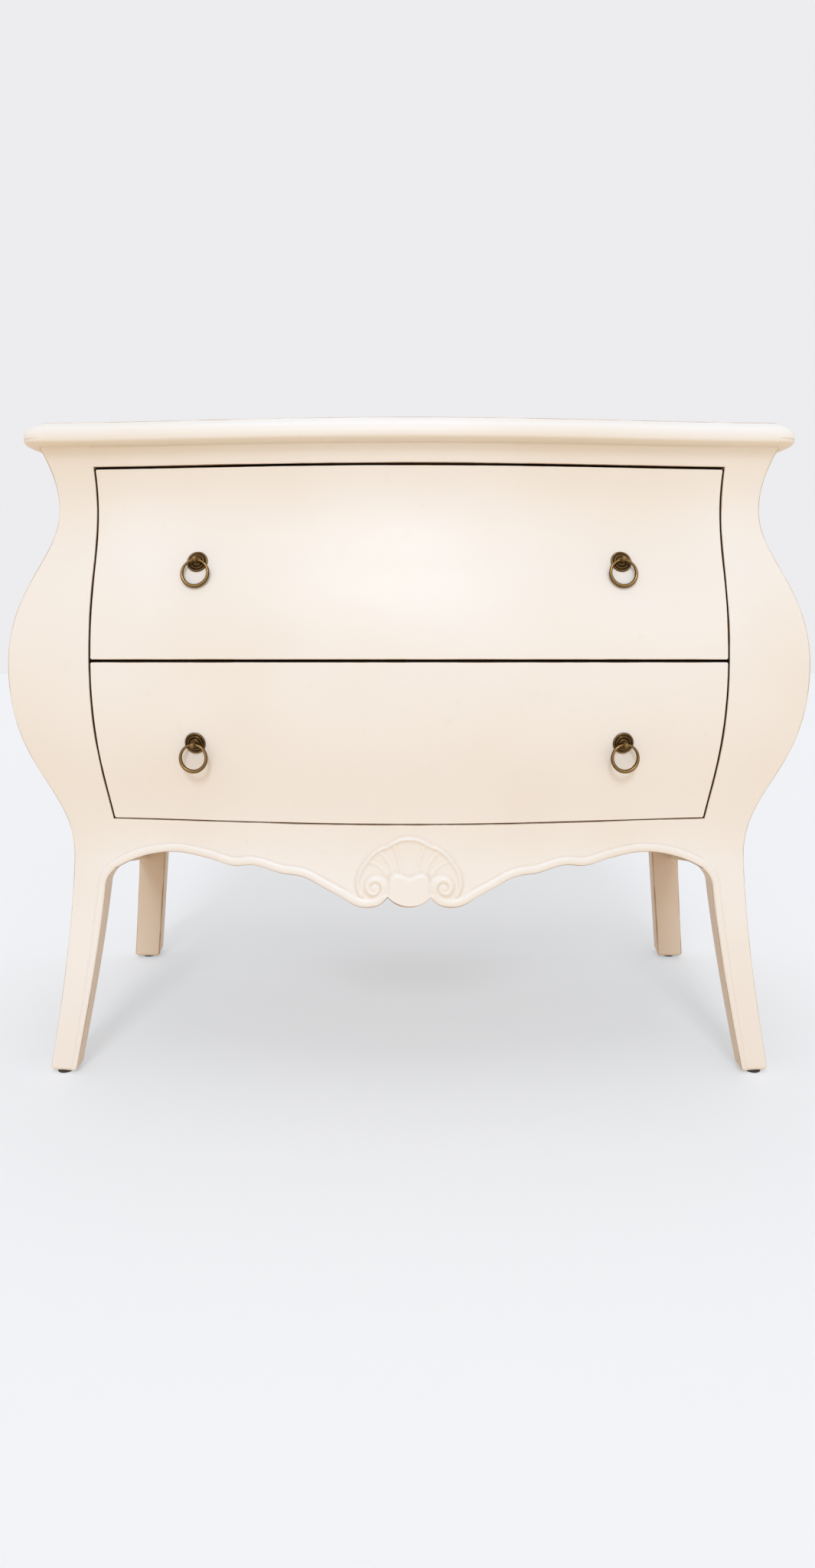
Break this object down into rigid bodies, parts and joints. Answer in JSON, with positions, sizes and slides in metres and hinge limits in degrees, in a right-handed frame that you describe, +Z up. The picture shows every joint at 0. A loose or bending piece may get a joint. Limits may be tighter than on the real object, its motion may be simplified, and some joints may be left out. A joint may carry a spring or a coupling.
{
  "type": "bombe dresser",
  "caption": "Painted chest of drawers with a swelling front and sides, ring handles, a beaded apron with a carved shell, and splayed legs.",
  "frame": {"origin": "on the floor, under the middle of the dresser's overall box", "axes": "+X to the right as seen from the front, +Y to the back, +Z up; the drawers open towards -Y"},
  "size_m": [1.08, 0.4799, 0.851],
  "materials": {
    "cream_paint": "satin cream paint, rubbed through to brown on its edges",
    "bare_wood": "bare wood",
    "plywood": "bare plywood",
    "aged_brass": "dark aged brass",
    "steel": "plain steel",
    "dark_glide": "matte"
  },
  "bodies": {
    "case": {"top_board": "cream_paint", "front_post_left": "cream_paint", "front_post_right": "cream_paint", "rear_post_left": "cream_paint", "rear_post_right": "cream_paint", "side_panel_left": "cream_paint", "side_panel_right": "cream_paint", "side_apron_left": "cream_paint", "side_apron_right": "cream_paint", "front_apron": "cream_paint", "top_rail": "cream_paint", "divider_rail": "bare_wood", "bottom_rail": "bare_wood", "rear_top_rail": "bare_wood", "rear_middle_rail": "bare_wood", "rear_bottom_rail": "bare_wood", "back_panel": "plywood", "upper_drawer_runner_left": "bare_wood", "upper_drawer_runner_right": "bare_wood", "lower_drawer_runner_left": "bare_wood", "lower_drawer_runner_right": "bare_wood", "kicker_left": "bare_wood", "kicker_right": "bare_wood", "upper_drawer_stop": "bare_wood", "lower_drawer_stop": "bare_wood", "front_glide_left": "dark_glide", "front_glide_right": "dark_glide", "rear_glide_left": "dark_glide", "rear_glide_right": "dark_glide"},
    "upper_drawer": {"upper_drawer_front": "cream_paint", "upper_drawer_side_left": "bare_wood", "upper_drawer_side_right": "bare_wood", "upper_drawer_back": "bare_wood", "upper_drawer_bottom": "plywood", "upper_drawer_handle_left_rosette": "aged_brass", "upper_drawer_handle_left_post": "aged_brass", "upper_drawer_handle_left_nut": "steel", "upper_drawer_handle_right_rosette": "aged_brass", "upper_drawer_handle_right_post": "aged_brass", "upper_drawer_handle_right_nut": "steel"},
    "lower_drawer": {"lower_drawer_front": "cream_paint", "lower_drawer_side_left": "bare_wood", "lower_drawer_side_right": "bare_wood", "lower_drawer_back": "bare_wood", "lower_drawer_bottom": "plywood", "lower_drawer_handle_left_rosette": "aged_brass", "lower_drawer_handle_left_post": "aged_brass", "lower_drawer_handle_left_nut": "steel", "lower_drawer_handle_right_rosette": "aged_brass", "lower_drawer_handle_right_post": "aged_brass", "lower_drawer_handle_right_nut": "steel"},
    "upper_ring_left": {"upper_drawer_handle_left_ring": "aged_brass"},
    "upper_ring_right": {"upper_drawer_handle_right_ring": "aged_brass"},
    "lower_ring_left": {"lower_drawer_handle_left_ring": "aged_brass"},
    "lower_ring_right": {"lower_drawer_handle_right_ring": "aged_brass"}
  },
  "joints": [
    {"name": "upper_drawer_slide", "type": "slide", "parent": "case", "child": "upper_drawer", "axis": [0, -1, 0], "range_m": [0, 0.3]},
    {"name": "lower_drawer_slide", "type": "slide", "parent": "case", "child": "lower_drawer", "axis": [0, -1, 0], "range_m": [0, 0.3]},
    {"name": "upper_ring_left_swing", "type": "hinge", "parent": "upper_drawer", "child": "upper_ring_left", "pos_m": [-0.27466, -0.20761, 0.67068], "axis": [-0.9955, 0.0951, 0], "range_deg": [0, 150]},
    {"name": "upper_ring_right_swing", "type": "hinge", "parent": "upper_drawer", "child": "upper_ring_right", "pos_m": [0.27466, -0.20761, 0.67068], "axis": [-0.9955, -0.0951, 0], "range_deg": [0, 150]},
    {"name": "lower_ring_left_swing", "type": "hinge", "parent": "lower_drawer", "child": "lower_ring_left", "pos_m": [-0.2749, -0.21688, 0.43443], "axis": [-0.9916, 0.1292, 0], "range_deg": [-14, 150]},
    {"name": "lower_ring_right_swing", "type": "hinge", "parent": "lower_drawer", "child": "lower_ring_right", "pos_m": [0.2749, -0.21688, 0.43443], "axis": [-0.9916, -0.1292, 0], "range_deg": [-14, 150]}
  ]
}
